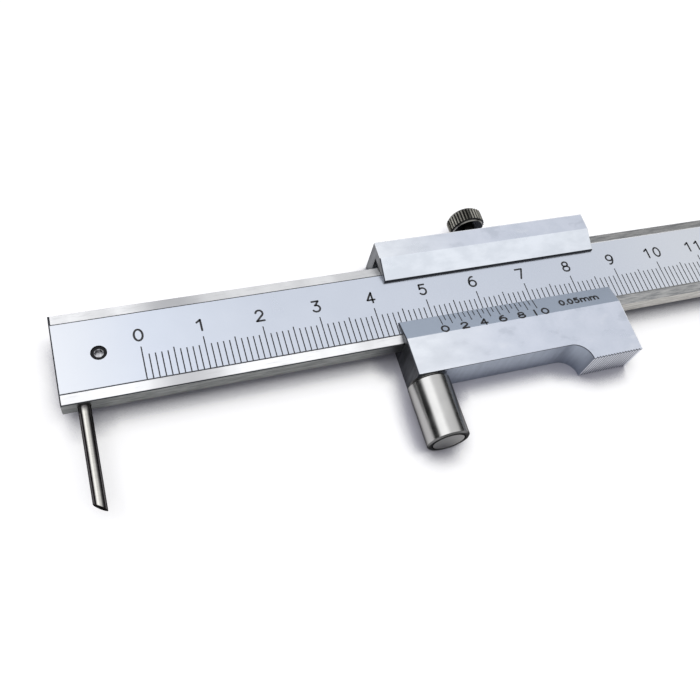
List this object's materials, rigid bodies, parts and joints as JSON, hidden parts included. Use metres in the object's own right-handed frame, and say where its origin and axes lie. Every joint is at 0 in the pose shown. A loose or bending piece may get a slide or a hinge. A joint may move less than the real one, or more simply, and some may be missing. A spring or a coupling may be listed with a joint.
{
  "type": "marking caliper",
  "caption": "Marking caliper: a graduated steel beam with a clamped scriber at one end, and a vernier slider with a guide roller, a thumb pad and a knurled lock screw.",
  "frame": {"origin": "centre of the slider's flat back face, on the beam's centre line", "axes": "+X along the beam towards larger readings, +Y across the beam towards the lock screw, +Z out of the slider's flat back towards the graduated face"},
  "size_m": [0.264, 0.0436, 0.0081],
  "materials": {
    "satin_steel": "satin face with brushed ground edges",
    "satin_chrome": "fine satin chrome",
    "polished_steel": "fine ground and polished",
    "brushed_steel": "turned",
    "hard_metal": "ground hard metal",
    "black_oxide": "black oxide",
    "spring_bronze": "rolled phosphor bronze",
    "brass": "turned"
  },
  "bodies": {
    "beam": {"beam": "satin_steel", "clamp_pin": "brass", "end_stop_screw": "black_oxide"},
    "slider": {"slider": "satin_chrome", "roller_axle": "brushed_steel", "thrust_washer": "black_oxide"},
    "roller": {"roller": "polished_steel"},
    "gib": {"gib": "spring_bronze"},
    "lock_screw": {"lock_screw": "black_oxide"},
    "scriber": {"scriber": "hard_metal"},
    "set_screw": {"set_screw": "black_oxide"}
  },
  "joints": [
    {"name": "slider_travel", "type": "slide", "parent": "beam", "child": "slider", "axis": [1, 0, 0], "range_m": [-0.0505, 0.1495]},
    {"name": "roller_spin", "type": "hinge", "parent": "slider", "child": "roller", "pos_m": [-0.01925, -0.02, 0.00385], "axis": [0, 1, 0], "continuous": true},
    {"name": "gib_release", "type": "slide", "parent": "slider", "child": "gib", "axis": [0, 1, 0], "range_m": [0, 0.0005]},
    {"name": "lock_screw_turn", "type": "hinge", "parent": "gib", "child": "lock_screw", "pos_m": [-0.0009, 0.0158, 0.0044], "axis": [0, 1, 0], "range_deg": [0, 360.1]},
    {"name": "scriber_reach", "type": "slide", "parent": "beam", "child": "scriber", "axis": [0, -1, 0], "range_m": [-0.0009, 0.0035]},
    {"name": "set_screw_turn", "type": "hinge", "parent": "beam", "child": "set_screw", "pos_m": [-0.0716, 0, 0.0044], "axis": [0, 0, 1], "range_deg": [0, 180]}
  ],
  "couplings": [
    {"joint": "lock_screw_turn", "follows": "gib_release", "rad_per_m": 12566}
  ]
}
